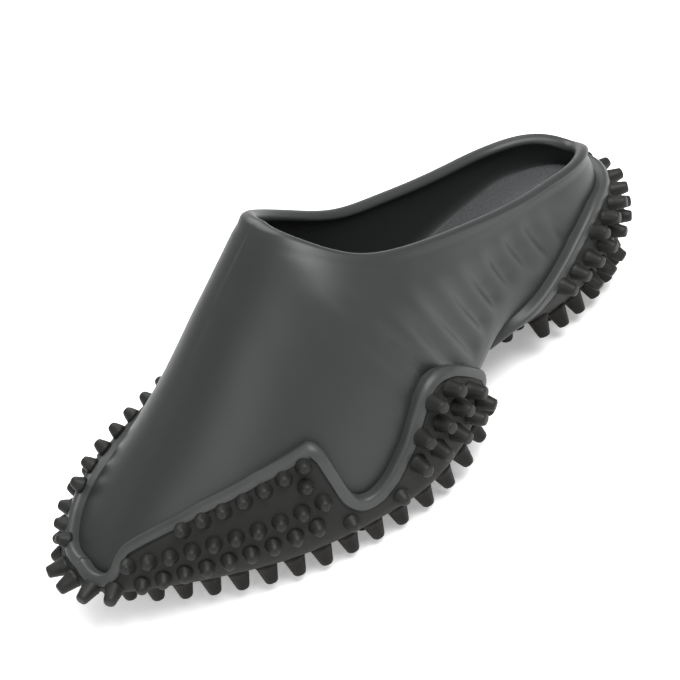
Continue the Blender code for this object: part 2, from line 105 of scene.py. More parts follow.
# The form's cross-sections along the shoe
LAST_COLUMNS = ("x", "centre", "lateral", "medial", "under", "feather", "belly",
                "full_lateral", "full_medial", "crown_lateral", "crown_medial")
LAST = np.array([
    (0, -3.5, 31.5, 31.0, 12.0, 30.0, 3.0, 2.20, 2.20, 76.0, 76.0),
    (30, -2.5, 33.0, 31.5, 11.0, 29.5, 3.0, 2.15, 2.15, 84.0, 84.5),
    (60, 0.0, 35.5, 33.5, 11.3, 32.5, 2.7, 2.05, 2.05, 87.5, 90.0),
    (90, 2.5, 39.5, 35.0, 20.3, 37.5, 2.2, 1.95, 2.00, 94.0, 100.0),
    (115, 5.0, 46.5, 38.0, 18.3, 33.0, 2.2, 1.90, 1.95, 101.0, 111.0),
    (140, 7.5, 54.0, 43.5, 12.0, 24.0, 2.5, 1.87, 2.00, 107.5, 118.0),
    (160, 8.0, 55.0, 47.0, 11.0, 19.5, 3.0, 1.75, 1.85, 115.0, 116.5),
    (185, 6.5, 52.5, 47.5, 11.0, 19.0, 3.2, 1.65, 1.70, 99.0, 99.0),
    (215, 2.5, 46.5, 46.0, 12.0, 20.0, 3.2, 1.67, 1.65, 72.5, 72.5),
    (240, -3.5, 41.0, 45.5, 15.0, 21.0, 3.2, 1.72, 1.68, 52.0, 52.0),
    (258, -7.0, 37.0, 45.5, 17.7, 21.5, 3.2, 1.90, 1.87, 40.0, 40.0),
    (276, -8.0, 35.0, 44.5, 20.0, 22.5, 3.2, 2.00, 1.97, 32.0, 32.0),
], float)

# Height, and how far the heel's back leans forward there
BACK = np.array([(8, 10.0), (11, 6.5), (15, 3.2), (20, 1.2), (30, 0.0), (40, 0.0),
                 (50, 0.9), (60, 3.0), (90, 12.0)], float)

# x, and the collar's half width outside its rolled rim
RIM = np.array([(0, 26.5), (34, 28.5), (60, 29.5), (90, 30.5), (115, 31.5), (130, 31.0),
                (164.5, 33.0)], float)

# x, and the height of the foam under the footbed
FLOOR = np.array([(0, 37.0), (30, 36.5), (70, 34.5), (110, 29.0), (150, 23.0), (185, 20.5),
                  (225, 19.0), (255, 20.8), (276, 22.5)], float)

# Columns of the forefoot outsole, by x, closer where its top line turns
FORE_COLUMNS = np.array([117, 122, 129, 136, 143, 150, 158, 166, 174, 181, 186, 189.5, 193, 201,
                         212, 224, 236, 248, 257, 263, 266.5, 268.5, 270.5, 273, 275, 276], float)
HEEL_COLUMNS = np.array([0, 0.9, 3, 6.5, 11, 17, 24, 32, 41, 51, 61, 71, 80, 88, 95], float)

# Column x and height of the outsoles' top lines, for the lateral and the medial side
FORE_TOP = {
    1: np.array([(115, 30), (120, 38), (126, 45), (131, 50), (138, 53), (144, 53), (149, 51),
                 (157, 44), (164, 37), (168, 34), (174, 29), (179, 26), (184, 25), (187, 26),
                 (189, 31), (190, 40), (191.5, 51), (194, 55), (201, 55), (218, 51), (237, 46),
                 (252, 41), (264, 36), (266.5, 33.5), (268.5, 29), (270.5, 27), (273, 27.5), (276, 30)],
                float),
    -1: np.array([(115, 30), (120, 38), (126, 45), (131, 50), (138, 53), (144, 53), (149, 51),
                  (157, 44), (164, 37), (168, 34), (174, 29), (179, 26), (184, 25), (187, 26),
                  (189, 31), (190, 40), (191.5, 51), (194, 55), (201, 55), (218, 51), (237, 46),
                  (252, 41), (266, 35), (271, 33), (276, 30)], float),
}
HEEL_TOP = {
    1: np.array([(0, 44.0), (15, 45.5), (26, 46), (35, 43.5), (44, 39.5), (52, 36), (63, 32.5),
                 (74, 29.5), (84, 26), (95, 21)], float),
    -1: np.array([(0, 44.0), (15, 45.5), (26, 46), (35, 43.5), (44, 39.5), (52, 36), (63, 32.5),
                  (74, 29.5), (84, 26), (95, 21)], float),
}

# Rows of side studs: first and last distance round the outline from the back of the heel,
# spacing, first and last height (nought for an angle under the level), angle, kind, droop, sides
FORE_STUDS = (
    (143, 509, 10.4, 0, 0, -44, "edge", 0.5, "one"),
    (275, 217, 8.2, 38.5, 49.5, 0, "bump", 0.0, "both"),
    (299, 220, 8.2, 30.0, 33.0, 0, "bump", 0.1, "both"),
    (252, 221, 8.2, 38.5, 41.5, 0, "bump", 0.0, "both"),
    (296, 226, 8.2, 22.5, 25.0, 0, "bump", 0.2, "both"),
    (217, 195, 20.0, 20.0, 19.0, 0, "bump", 0.2, "both"),
    (171, 154, 8.6, 44.5, 43.5, 0, "heel", 0.1, "both"),
    (181, 148, 8.6, 36.0, 35.0, 0, "heel", 0.1, "both"),
    (186, 146, 8.6, 27.5, 27.0, 0, "heel", 0.2, "both"),
    (307, 347, 9.0, 22.0, 24.0, 0, "heel", 0.0, "one"),
)
HEEL_STUDS = (
    (-98, 98, 10.4, 0, 0, -66, "edge", 0.5, "one"),
    (-62, 62, 9.4, 36.0, 36.0, 0, "heel", 0.0, "one"),
    (-84, 84, 9.4, 27.5, 27.5, 0, "heel", 0.1, "one"),
    (-92, 92, 9.4, 18.5, 18.5, 0, "heel", 0.3, "one"),
)


def smooth(xs, ys, x):
    """A smooth curve through a table's points, level beyond its ends."""
    x = np.clip(np.asarray(x, float), xs[0], xs[-1])
    slope = np.gradient(ys, xs)
    k = np.clip(np.searchsorted(xs, x, side="right") - 1, 0, len(xs) - 2)
    gap = xs[k + 1] - xs[k]
    t = (x - xs[k]) / gap
    rise = (-2 * t**3 + 3 * t**2) * (ys[k + 1] - ys[k])
    return ys[k] + rise + gap * ((t**3 - 2 * t**2 + t) * slope[k] + (t**3 - t**2) * slope[k + 1])


def last(name, x):
    return smooth(LAST[:, 0], LAST[:, LAST_COLUMNS.index(name)], x)


def by_side(name, x, side):
    return np.where(side > 0, last(name + "_lateral", x), last(name + "_medial", x))


def closing(x, off, zone, power):
    """From 1 to 0 over the last stretch before the toe, off mm outside the form."""
    t = np.clip((x - LENGTH + zone) / (zone + off), 0, 1)
    return np.sqrt(1 - t**power)


def feather(x):
    """Height of the widest level."""
    t = np.clip((x - LENGTH + NOSE_TOP) / NOSE_TOP, 0, 1) ** 2
    return last("feather", x) * (1 - t) + TIP_HEIGHT * t


def widest(x, side, off, lift):
    """Height of the widest level, or in the foot's space a level over its floor."""
    level = feather(x)
    if lift is None:
        return level
    low = smooth(FLOOR[:, 0], FLOOR[:, 1], x) + lift
    room = by_side("crown", x, side) + off - low
    return np.maximum(level, low + np.minimum(9, 0.45 * room))


def half_width(x, z, side, off):
    w = np.where(side > 0, last("lateral", x), last("medial", x)) + off
    t = np.clip((x - smooth(BACK[:, 0], BACK[:, 1], z) + off) / (HEEL_ROUND + off), 0, 1)
    return w * np.sqrt(1 - (1 - t) ** 2) * closing(x, off, TOE_ROUND, TOE_POWER)


def outside(p, off=0.0, lift=None):
    """Below nought inside the form, above nought outside it.

    off moves the skin outward. With lift the form is the foot's space, which stands
    that far above the foam floor.
    """
    x, y, z = p[..., 0], p[..., 1], p[..., 2]
    centre = last("centre", x)
    side = np.where(y >= centre, 1, -1)
    middle = widest(x, side, off, lift)
    low = last("under", x) - off
    belly = last("belly", x)
    if lift is not None:
        low = smooth(FLOOR[:, 0], FLOOR[:, 1], x) + lift
        belly = 3.5
    up = (by_side("crown", x, side) + off - middle) * closing(x, off, NOSE_TOP, 2.0)
    down = (middle - low) * closing(x, off, NOSE_UNDER, 2.0)
    power = np.where(z >= middle, by_side("full", x, side), belly)
    height = np.maximum(np.where(z >= middle, up, down), 1e-6)
    width = np.maximum(half_width(x, z, side, off), 1e-6)
    across = (np.hypot(y - centre, SOFT) - SOFT + 1e-3) / (np.hypot(width, SOFT) - SOFT + 1e-6)
    return across**power + (np.abs(z - middle) / height) ** power - 1


def reach(start, way, off=0.0, lift=None, far=160.0):
    """Where rays from inside the form meet its skin."""
    near = np.zeros(start.shape[:-1])
    far = np.full(start.shape[:-1], far)
    for _ in range(32):
        half = (near + far) / 2
        within = outside(start + way * half[..., None], off, lift) < 0
        near = np.where(within, half, near)
        far = np.where(within, far, half)
    return start + way * near[..., None]


def facing(p, off=0.0, lift=None):
    """The skin's outward direction."""
    g = np.zeros_like(p)
    for k in range(3):
        d = np.zeros(3)
        d[k] = 0.3
        g[..., k] = outside(p + d, off, lift) - outside(p - d, off, lift)
    return g / np.linalg.norm(g, axis=-1, keepdims=True)


def outline(x, side, off=0.0, lift=None):
    """Points of the widest level, and their outward directions seen from above."""
    def at(x):
        z = widest(x, side, off, lift)
        return np.stack([x, last("centre", x) + side * half_width(x, z, side, off), z], -1)

    back = -off
    front = LENGTH + off
    p = at(x)
    a = at(np.clip(x - 0.4, back + 0.02, front))
    b = at(np.clip(x + 0.4, back, front - 0.02))
    along = b - a
    n = np.stack([-side * along[..., 1], side * along[..., 0], 0 * x], -1)
    n[x <= back + 0.05] = (-1, 0, 0)
    n[x >= front - 0.05] = (1, 0, 0)
    return p, n / np.linalg.norm(n, axis=-1, keepdims=True)


def fan(x, side, low, high, rows, off=0.0, lift=None):
    """Skin points fanned from inside the edge, between two angles above the level."""
    p, n = outline(x, side, off, lift)
    core = p - n * CORE
    turn = low + (high - low) * np.linspace(0, 1, rows)[:, None]
    way = n[None] * np.cos(turn)[..., None] + np.array([0, 0, 1.0]) * np.sin(turn)[..., None]
    return reach(np.broadcast_to(core, way.shape), way, off, lift)


def angle_for(x, side, height, off=0.0, lift=None):
    """The fan angle at which the skin has a given height."""
    low = np.full(x.shape, math.radians(-89))
    high = np.full(x.shape, math.radians(80))
    for _ in range(18):
        half = (low + high) / 2
        z = fan(x, side, half, half, 1, off, lift)[0, :, 2]
        low = np.where(z < height, half, low)
        high = np.where(z < height, high, half)
    return (low + high) / 2


def rim(share, side):
    """The collar's outer edge, from the back at 0 to the throat at 1."""
    back = float(smooth(BACK[:, 0], BACK[:, 1], RIM_BACK))
    x = back + (THROAT - back) * (1 - np.cos(np.pi * share)) / 2
    w = smooth(RIM[:, 0], RIM[:, 1], x)
    heel = 1 - np.clip((x - back) / HEEL_ROUND, 0, 1)
    throat = np.clip((x - THROAT) / THROAT_ROUND + 1, 0, 1)
    y = last("centre", x) + side * w * np.sqrt(1 - heel**2) * np.sqrt(1 - throat**2)
    start = np.stack([x, y, feather(x) + 8], -1)
    return reach(start, np.broadcast_to([0.0, 0.0, 1.0], start.shape))


def rim_inner(share, side):
    """The collar's inner edge, one wall inside the outer one."""
    return rim(share, side) - rim_facing(share, side) * WALL


def side_rows(share, side, rows, off=0.0, lift=None):
    """Skin points from the widest level up to the collar's edge."""
    x = -off + (LENGTH + 2 * off) * (1 - np.cos(np.pi * share)) / 2
    a, n = outline(x, side, off, lift)
    b = rim(share, side) if lift is None else rim_inner(share, side)
    m = rim_facing(share, side)
    out = [a]
    for t in np.linspace(0, 1, rows + 1)[1:-1]:
        way = n * (1 - t) + m * t
        way /= np.linalg.norm(way, axis=-1, keepdims=True)
        depth = DEPTH * math.sin(math.pi * t) + 4 * t
        out.append(reach(a + (b - a) * t - way * depth, way, off, lift))
    out.append(b)
    return np.array(out)


def spine(x, side, off=0.0, lift=None):
    """The middle line between the two sides' innermost bottom points."""
    down = math.radians(-90)
    a = fan(x, 1, down, down, 1, off, lift)[0]
    b = fan(x, -1, down, down, 1, off, lift)[0]
    start = (a + b) / 2
    start[:, 2] += 6
    return reach(start, np.broadcast_to([0.0, 0.0, -1.0], start.shape), off, lift)


def pair(rows_for, back=True, front=True):
    """Both sides' rows, sharing their points where the sides meet."""
    lateral = np.array(rows_for(1))
    medial = np.array(rows_for(-1))
    if back:
        medial[:, 0] = lateral[:, 0]
    if front:
        medial[:, -1] = lateral[:, -1]
    return lateral, medial


def grow_fore(x, off):
    start = FORE_COLUMNS[0]
    return start + (x - start) * (LENGTH + off - start) / (LENGTH - start)


def grow_heel(x, off):
    end = HEEL_COLUMNS[-1]
    return -off + x * (end + off) / end


def walk():
    """Distances along the outline from the back of the heel, for each side."""
    x = LENGTH * (1 - np.cos(np.linspace(0, np.pi, 900))) / 2
    out = {}
    for side in (1, -1):
        p = outline(x, side)[0]
        steps = np.linalg.norm(np.diff(p[:, :2], axis=0), axis=1)
        out[side] = (np.concatenate([[0], np.cumsum(steps)]), x)
    return out


def column(path, places):
    """Sides and x for distances round the outline, beyond either end on the medial side."""
    whole = path[1][0][-1]
    medial = (places > whole) | (places < 0)
    turned = np.where(places > whole, whole + path[-1][0][-1] - places, np.abs(places))
    x = np.where(medial, np.interp(turned, *path[-1]), np.interp(turned, *path[1]))
    return np.where(medial, -1, 1), x


def row_places(path, first, end, low, high, angle):
    """Roots and outward directions of a row, closely spaced."""
    off = GAP + RUBBER
    places = np.arange(first, end, 1.2 if end > first else -1.2)
    heights = low + (high - low) * (places - first) / (end - first)
    sides, x = column(path, places)
    x = -off + x * (LENGTH + 2 * off) / LENGTH
    roots = np.zeros((len(x), 3))
    for side in (1, -1):
        here = sides == side
        if not here.any():
            continue
        turn = np.full(here.sum(), math.radians(angle))
        if low:
            turn = angle_for(x[here], side, heights[here], off)
        roots[here] = fan(x[here], side, turn, turn, 1, off)[0]
    return roots, facing(roots, off)


def crowded(taken, root, radius):
    return any(np.linalg.norm(root - other) < radius + far for other, far in taken)


def side_studs(found, taken, path, rows):
    """Rows of studs round the edge, square to the rubber."""
    whole = path[1][0][-1] + path[-1][0][-1]
    for first, end, spacing, low, high, angle, kind, droop, sides in rows:
        runs = [(first, end)]
        if sides == "both":
            runs.append((whole - first, whole - end))
        for begin, finish in runs:
            roots, ways = row_places(path, begin, finish, low, high, angle)
            before = None
            for root, way in zip(roots, ways):
                if before is not None and np.linalg.norm(root - before) < spacing:
                    continue
                before = root
                if crowded(taken, root, STUDS[kind][1] + STUD_CLEAR):
                    continue
                taken.append((root, STUDS[kind][1] + STUD_CLEAR))
                way = way - (0, 0, droop)
                found.append((root, way / np.linalg.norm(way), kind))


def floor_studs(found, taken, first, end, inset):
    """A staggered field of upright studs under the sole."""
    off = GAP + RUBBER
    radius = STUDS["spike"][1] + STUD_CLEAR
    height = STUDS["spike"][3]
    for k, x in enumerate(np.arange(first, end, FIELD_STEP)):
        centre = float(last("centre", x))
        for n in range(-5, 6):
            y = centre + (n + 0.5 * (k % 2)) * FIELD_ACROSS
            start = np.array([[x, y, float(feather(x))]])
            if outside(start, -inset)[0] >= 0:
                continue
            root = reach(start, np.array([[0.0, 0.0, -1.0]]), off)[0]
            if root[2] - height < LEVEL_WITHIN:
                root[2] = FLOOR_LEVEL + height
            if crowded(taken, root, radius):
                continue
            taken.append((root, radius))
            found.append((root, np.array([0.0, 0.0, -1.0]), "spike"))


# Helpers for every piece.
MM = 0.001
MERGE = 0.00002         # points nearer than this are one, in metres
# From the form to the part's frame, in millimetres
MOVE = np.array([-137.9707, -10.7875, 0.0])


class Maths:
    """A shader value; arithmetic on it adds maths nodes to its tree."""

    def __init__(self, tree, socket):
        self.tree = tree
        self.socket = socket

    def do(self, kind, *others, clamp=False):
        node = self.tree.nodes.new("ShaderNodeMath")
        node.operation = kind
        node.use_clamp = clamp
        for slot, value in zip(node.inputs, (self, *others)):
            if isinstance(value, Maths):
                self.tree.links.new(value.socket, slot)
            else:
                slot.default_value = value
        return Maths(self.tree, node.outputs[0])

    def __add__(self, other):
        return self.do("ADD", other)

    def __sub__(self, other):
        return self.do("SUBTRACT", other)

    def __mul__(self, other):
        return self.do("MULTIPLY", other)

    def __pow__(self, other):
        return self.do("POWER", other)

    def clamp(self):
        return self.do("ADD", 0.0, clamp=True)

    def bell(self, centre, width):
        """1 at the centre, falling to 0 that width away."""
        gap = (self - centre).do("ABSOLUTE")
        return (gap * (-1.0 / width) + 1.0).clamp()

    def ramp(self, low, high):
        """0 at low, 1 at high."""
        return ((self - low) * (1.0 / (high - low))).clamp()


class Material:
    """A procedural material with shorthands for what the pieces share."""

    def __init__(self, name, colour, roughness, specular=0.5):
        self.data = bpy.data.materials.new(name)
        self.data.use_nodes = True
        self.tree = self.data.node_tree
        self.shader = self.tree.nodes["Principled BSDF"]
        self.shader.inputs["Roughness"].default_value = roughness
        self.shader.inputs["Specular IOR Level"].default_value = specular
        self.colour = colour
        self.place = self.tree.nodes.new("ShaderNodeTexCoord").outputs["Object"]
        self.heights = []

    def noise(self, scale, detail=3.0, roughness=0.55):
        """Noise from 0 to 1 at that many blotches to the metre."""
        node = self.tree.nodes.new("ShaderNodeTexNoise")
        node.inputs["Scale"].default_value = scale
        node.inputs["Detail"].default_value = detail
        node.inputs["Roughness"].default_value = roughness
        self.tree.links.new(self.place, node.inputs["Vector"])
        return Maths(self.tree, node.outputs["Fac"])

    def cells(self, scale):
        """Distance to the nearest of scattered points."""
        node = self.tree.nodes.new("ShaderNodeTexVoronoi")
        node.inputs["Scale"].default_value = scale
        self.tree.links.new(self.place, node.inputs["Vector"])
        return Maths(self.tree, node.outputs["Distance"])

    def value(self, name):
        """A number stored on the mesh's points."""
        node = self.tree.nodes.new("ShaderNodeAttribute")
        node.attribute_name = name
        return Maths(self.tree, node.outputs["Fac"])

    def mix(self, share, other):
        """Moves the colour towards another by a share."""
        node = self.tree.nodes.new("ShaderNodeMix")
        node.data_type = "RGBA"
        self.tree.links.new(share.socket, node.inputs["Factor"])
        for slot, colour in ((6, self.colour), (7, other)):
            if isinstance(colour, tuple):
                node.inputs[slot].default_value = (*colour, 1.0)
            else:
                self.tree.links.new(colour, node.inputs[slot])
        self.colour = node.outputs[2]

    def bump(self, height, distance, strength=1.0):
        """Adds relief, in metres, over what is there."""
        node = self.tree.nodes.new("ShaderNodeBump")
        node.inputs["Distance"].default_value = distance
        node.inputs["Strength"].default_value = strength
        self.tree.links.new(height.socket, node.inputs["Height"])
        if self.heights:
            self.tree.links.new(self.heights[-1], node.inputs["Normal"])
        self.heights.append(node.outputs["Normal"])

    def finish(self, roughness=None):
        if isinstance(self.colour, tuple):
            self.shader.inputs["Base Color"].default_value = (*self.colour, 1.0)
        else:
            self.tree.links.new(self.colour, self.shader.inputs["Base Color"])
        if roughness is not None:
            self.tree.links.new(roughness.socket, self.shader.inputs["Roughness"])
        if self.heights:
            self.tree.links.new(self.heights[-1], self.shader.inputs["Normal"])
        return self.data


class Skin:
    """Collects the grids of one mesh, with numbers stored on their points."""

    def __init__(self):
        self.points = []
        self.faces = []
        self.values = {}

    def sheet(self, rows, **values):
        """Adds a grid of points joined by quads, and gives the points' numbers."""
        start = len(self.points)
        numbers = start + np.arange(rows[..., 0].size).reshape(rows.shape[:-1])
        self.points.extend(rows.reshape(-1, 3).tolist())
        for name, value in values.items():
            self.values.setdefault(name, []).extend(np.asarray(value).ravel().tolist())
        self.join(numbers)
        return numbers

    def join(self, numbers):
        a = numbers[:-1, :-1]
        b = numbers[:-1, 1:]
        c = numbers[1:, 1:]
        d = numbers[1:, :-1]
        self.faces.extend(np.stack([a, b, c, d], -1).reshape(-1, 4).tolist())

    def piece(self, name, material):
        """One smooth piece in the part's frame, its faces outward."""
        mesh = bpy.data.meshes.new(name)
        places = (np.array(self.points) + MOVE) * MM
        mesh.from_pydata(places.tolist(), [], self.faces)
        for key, value in self.values.items():
            store = mesh.attributes.new(key, "FLOAT", "POINT")
            store.data.foreach_set("value", np.array(value, np.float32))
        work = bmesh.new()
        work.from_mesh(mesh)
        bmesh.ops.remove_doubles(work, verts=work.verts, dist=MERGE)
        bmesh.ops.recalc_face_normals(work, faces=work.faces)
        if work.calc_volume(signed=True) < 0:
            bmesh.ops.reverse_faces(work, faces=work.faces)
        for face in work.faces:
            face.smooth = True
        work.to_mesh(mesh)
        work.free()
        mesh.materials.append(material)
        item = bpy.data.objects.new(name, mesh)
        bpy.context.scene.collection.objects.link(item)
        return item


# Foam upper.
# One injection-moulded shell of dense foam, about 4.5 mm thick, with a rolled rim round
# the collar and a satin skin. Upright flutes on both sides give grip when it is pulled on.
UPPER_DENSE = 150       # columns from heel to toe
BOTTOM_ROWS = 10
SIDE_ROWS = 44
INNER_SIDE_ROWS = 16
INNER_BOTTOM_ROWS = 6
BOTTOM_TO = -12         # where the bottom's fan ends, in degrees above the widest level
FLUTE_STEP = 12.0       # from one flute to the next
FLUTE_DEPTH = 2.3
FLUTE_FROM = 40.0       # x of the first and the last flute, at mid height
FLUTE_TO = 160.0
FLUTE_OUTER = 2.0       # fading begins this far outside those two
FLUTE_INNER = 22.0      # and ends this far inside them
FLUTE_SLANT = 0.35      # forward lean for each millimetre of height
FLUTE_LEVEL = 50.0      # height at which that lean is nought
FLUTE_FOOT = (0.08, 0.45)
FLUTE_HEAD = (0.60, 0.90)
ROLL_BULGE = 0.9        # how far the rolled rim stands proud of the wall on each side
ROLL_LIFT = 0.2         # and over the wall's edge
ROLL_TURNS = np.radians(np.linspace(8, 172, 13))
ROLL_BLEND = (0.88, 1.0)
RIM_BLEND = (0.7, 1.0)
INNER_RIM_BLEND = (0.5, 1.0)
RIM_EVENING = 50        # rounds of smoothing
TUCK_FROM = 262.0       # the tucked toe, by x, and its upper limit by height
TUCK_OVER = 14.0
TUCK_UNDER = 28.0
TUCK_SOFT = 3.0


def step(low, high, x):
    """From 0 to 1 between two limits, softly."""
    t = np.clip((x - low) / (high - low), 0, 1)
    return t * t * (3 - 2 * t)


def flutes(p, height):
    """Depth of the side flutes at skin points; height is 0 at the sole and 1 at the rim."""
    x = p[..., 0] - FLUTE_SLANT * (p[..., 2] - FLUTE_LEVEL)
    wave = 0.5 - 0.5 * np.cos(2 * np.pi * (x - FLUTE_FROM) / FLUTE_STEP)
    along = (step(FLUTE_FROM - FLUTE_OUTER, FLUTE_FROM + FLUTE_INNER, x)
             * (1 - step(FLUTE_TO - FLUTE_INNER, FLUTE_TO + FLUTE_OUTER, x)))
    tall = step(*FLUTE_FOOT, height) * (1 - step(*FLUTE_HEAD, height))
    return FLUTE_DEPTH * wave * along * tall


def evened(values_for, share, side):
    """Values along the collar, smoothed round its closed loop."""
    loop = np.concatenate([values_for(share, side), values_for(share, -side)[-2:0:-1]])
    for _ in range(RIM_EVENING):
        loop = (np.roll(loop, 1, axis=0) + 2 * loop + np.roll(loop, -1, axis=0)) / 4
    return loop[:len(share)]


def rim_facing(share, side):
    """The skin's outward direction along the collar's edge."""
    n = evened(lambda at, on: facing(rim(at, on)), share, side)
    n[[0, -1], 1] = 0
    return n / np.linalg.norm(n, axis=-1, keepdims=True)


def even_rim(share, side):
    """The collar's outer edge without its small kinks."""
    out = evened(rim, share, side)
    out[0] = (out[0, 0], rim(share[:1], side)[0, 1], out[0, 2])
    out[-1] = (out[-1, 0], rim(share[-1:], side)[0, 1], out[-1, 2])
    return out


def roll_rows(share, side):
    """The thick rolled rim, round from the outer skin over to the inner one."""
    a = even_rim(share, side)
    b = a - rim_facing(share, side) * WALL
    out = (a - b) / np.linalg.norm(a - b, axis=-1, keepdims=True)
    along = np.gradient(a, axis=0)
    along[0] = along[-1] = (0, side, 0)
    up = np.cross(along, b - a)
    up /= np.linalg.norm(up, axis=-1, keepdims=True)
    up *= np.where(up[:, 2:] < 0, -1, 1)
    rise = (LIP + (LIP_THROAT - LIP) * share**6)[:, None]
    rows = []
    for angle in ROLL_TURNS:
        rows.append((a + b) / 2 + out * (WALL / 2 + ROLL_BULGE) * math.cos(angle)
                    + up * (rise * math.sin(angle) + ROLL_LIFT))
    return np.array(rows)


def upper_skin():
    """The foam's outside, rolled rim and inside as one skin."""
    share = np.linspace(0, 1, UPPER_DENSE + 1)
    outer_x = SHRINK + (LENGTH - 2 * SHRINK) * (1 - np.cos(np.pi * share)) / 2
    inner_x = WALL + (LENGTH - 2 * WALL) * (1 - np.cos(np.pi * share)) / 2
    low = math.radians(-90)
    high = math.radians(BOTTOM_TO)

    def rows_for(side):
        rows = [spine(outer_x, side, -SHRINK)]
        rows.extend(fan(outer_x, side, low, high, BOTTOM_ROWS, -SHRINK))
        sides = side_rows(share, side, SIDE_ROWS, -SHRINK)
        n = facing(sides, -SHRINK)
        n[:, [0, -1], 1] = 0
        height = np.linspace(0, 1, len(sides))[:, None] + 0 * sides[..., 0]
        bulge = ROLL_BULGE * step(*ROLL_BLEND, height)
        shift = even_rim(share, side) - rim(share, side)
        sides = sides + n * (bulge - flutes(sides, height))[..., None]
        sides = sides + shift * step(*RIM_BLEND, height)[..., None]
        rows.extend(sides)
        below_rim = len(rows) - 1
        rows.extend(roll_rows(share, side))
        inner = side_rows(share, side, INNER_SIDE_ROWS, -WALL, 0.0)
        height = np.linspace(0, 1, len(inner))[:, None] + 0 * inner[..., 0]
        rows.extend((inner + shift * step(*INNER_RIM_BLEND, height)[..., None])[::-1])
        rows.extend(fan(inner_x, side, low, high, INNER_BOTTOM_ROWS, -WALL, 0.0)[::-1])
        rows.append(spine(inner_x, side, -WALL, 0.0))
        rows = np.array(rows)
        toe = (np.clip((rows[..., 0] - TUCK_FROM) / TUCK_OVER, 0, 1)
               * np.clip((TUCK_UNDER - rows[..., 2]) / TUCK_SOFT, 0, 1))
        rows[:below_rim, :, 0] -= TUCK * toe[:below_rim]
        return rows

    skin = Skin()
    for rows in pair(rows_for):
        skin.sheet(rows)
    return skin


foam = Material("foam", (0.0170, 0.0185, 0.0180), 0.42, 0.36)
foam.mix(foam.noise(9.0).ramp(0.35, 0.75), (0.0150, 0.0170, 0.0165))
foam.bump(foam.noise(900.0, 2.0), 0.00004, 0.5)
foam.bump(foam.noise(60.0, 2.0), 0.0003, 0.12)
foam_roughness = foam.noise(25.0) * 0.08 + 0.40
upper = upper_skin().piece("upper_skin", foam.finish(foam_roughness))
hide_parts("upper")
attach(upper, "root")

# Footbed.
# A removable sock liner of thin foam faced with charcoal knit, cut to the foot's space.
# Its edge is rounded over and it lies a little above the foam floor.
FOOTBED_DENSE = 120     # columns from heel to toe
FOOTBED_ROWS = 7
EDGE_LOW = 1.0          # the rounded edge begins this far under the top
# Rows of the top, from the edge in: share of the way to the middle, and drop
FOOTBED_TOP = ((0.012, 0.45), (0.03, 0.12), (0.06, 0.0), (0.15, 0.0), (0.3, 0.0),
               (0.5, 0.0), (0.75, 0.0))


def footbed_skin():
    """The footbed's underside and its flat top with a rounded edge."""
    share = np.linspace(0, 1, FOOTBED_DENSE + 1)
    off = -WALL - INSOLE_PLAY
    x = -off + (LENGTH + 2 * off) * (1 - np.cos(np.pi * share)) / 2

    def cover(points, drop=0.0):
        out = points.copy()
        out[:, 2] = smooth(FLOOR[:, 0], FLOOR[:, 1], out[:, 0]) + INSOLE_LIFT + INSOLE - drop
        return out

    def rows_for(side):
        middle = spine(x, side, off, INSOLE_LIFT)
        top = smooth(FLOOR[:, 0], FLOOR[:, 1], x) + INSOLE_LIFT + INSOLE
        for _ in range(3):
            edge = angle_for(x, side, top - EDGE_LOW, off, INSOLE_LIFT)
            top = cover(fan(x, side, edge, edge, 1, off, INSOLE_LIFT)[0])[:, 2]
        rows = [middle]
        rows.extend(fan(x, side, math.radians(-90), edge, FOOTBED_ROWS, off, INSOLE_LIFT))
        border = rows[-1]
        for inward, drop in FOOTBED_TOP:
            rows.append(cover(border + (middle - border) * inward, drop))
        rows.append(cover(middle))
        return rows

    skin = Skin()
    for rows in pair(rows_for):
        skin.sheet(np.array(rows))
    return skin


knit = Material("knit", (0.070, 0.071, 0.076), 0.92, 0.2)
weave = knit.cells(950.0)
knit.mix(weave.ramp(0.15, 0.55) * 0.6, (0.040, 0.041, 0.044))
knit.mix(knit.noise(140.0).ramp(0.55, 0.8) * 0.25, (0.085, 0.086, 0.090))
knit.bump(weave, 0.0005, 0.7)
footbed = footbed_skin().piece("footbed", knit.finish())
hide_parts("insole")
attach(footbed, "root")

# Rubber outsoles.
# Two pressed rubber shells bonded to the foam, one under the forefoot with wings on both
# sides and one round the heel. A smooth bevelled border runs along each top edge; its paler
# colour is a painted highlight. A fine groove sets it off, darkened with painted shade.
OUTSOLE = GAP + RUBBER
BORDER = 4.6            # width of the smooth border
BORDER_RISE = 0.35      # how far it stands over the field
BORDER_SOFT = (0.5, 0.3)
EDGE_ROUND = 1.6        # rounding of its upper edge
EDGE_DROP = 0.75        # depth of that rounding, as a share of its width
EDGE_DEPTH = 4.5        # from the skin down to the foam
EDGE_STEPS = (0.25, 0.5, 0.75, 1.0)
OUTSOLE_ROWS = 34
ROW_CROWD = 0.8         # under 1, rows stand closer towards the top line
COLUMN_STEP = 1.5       # between columns, along the top line
LINE_STEP = 0.25        # between the points of a rounded top line
LEAST_TURN = 0.0008     # keeps the columns at the very ends apart
CORNER_EVENING = 160    # rounds of smoothing of the top line's corners
WAY_EVENING = 12        # and of the directions where the sides meet
BETWEEN = (0, 0.25, 0.5, 0.75)


def rounded_line(top):
    """A top line's x and height with its corners rounded, at even steps along it."""
    walked = np.concatenate([[0], np.cumsum(np.hypot(np.diff(top[:, 0]), np.diff(top[:, 1])))])
    even = np.linspace(0, walked[-1], int(walked[-1] / LINE_STEP))
    curve = np.stack([np.interp(even, walked, top[:, k]) for k in (0, 1)], -1)
    for _ in range(CORNER_EVENING):
        curve[1:-1] = (curve[:-2] + 2 * curve[1:-1] + curve[2:]) / 4
    return curve


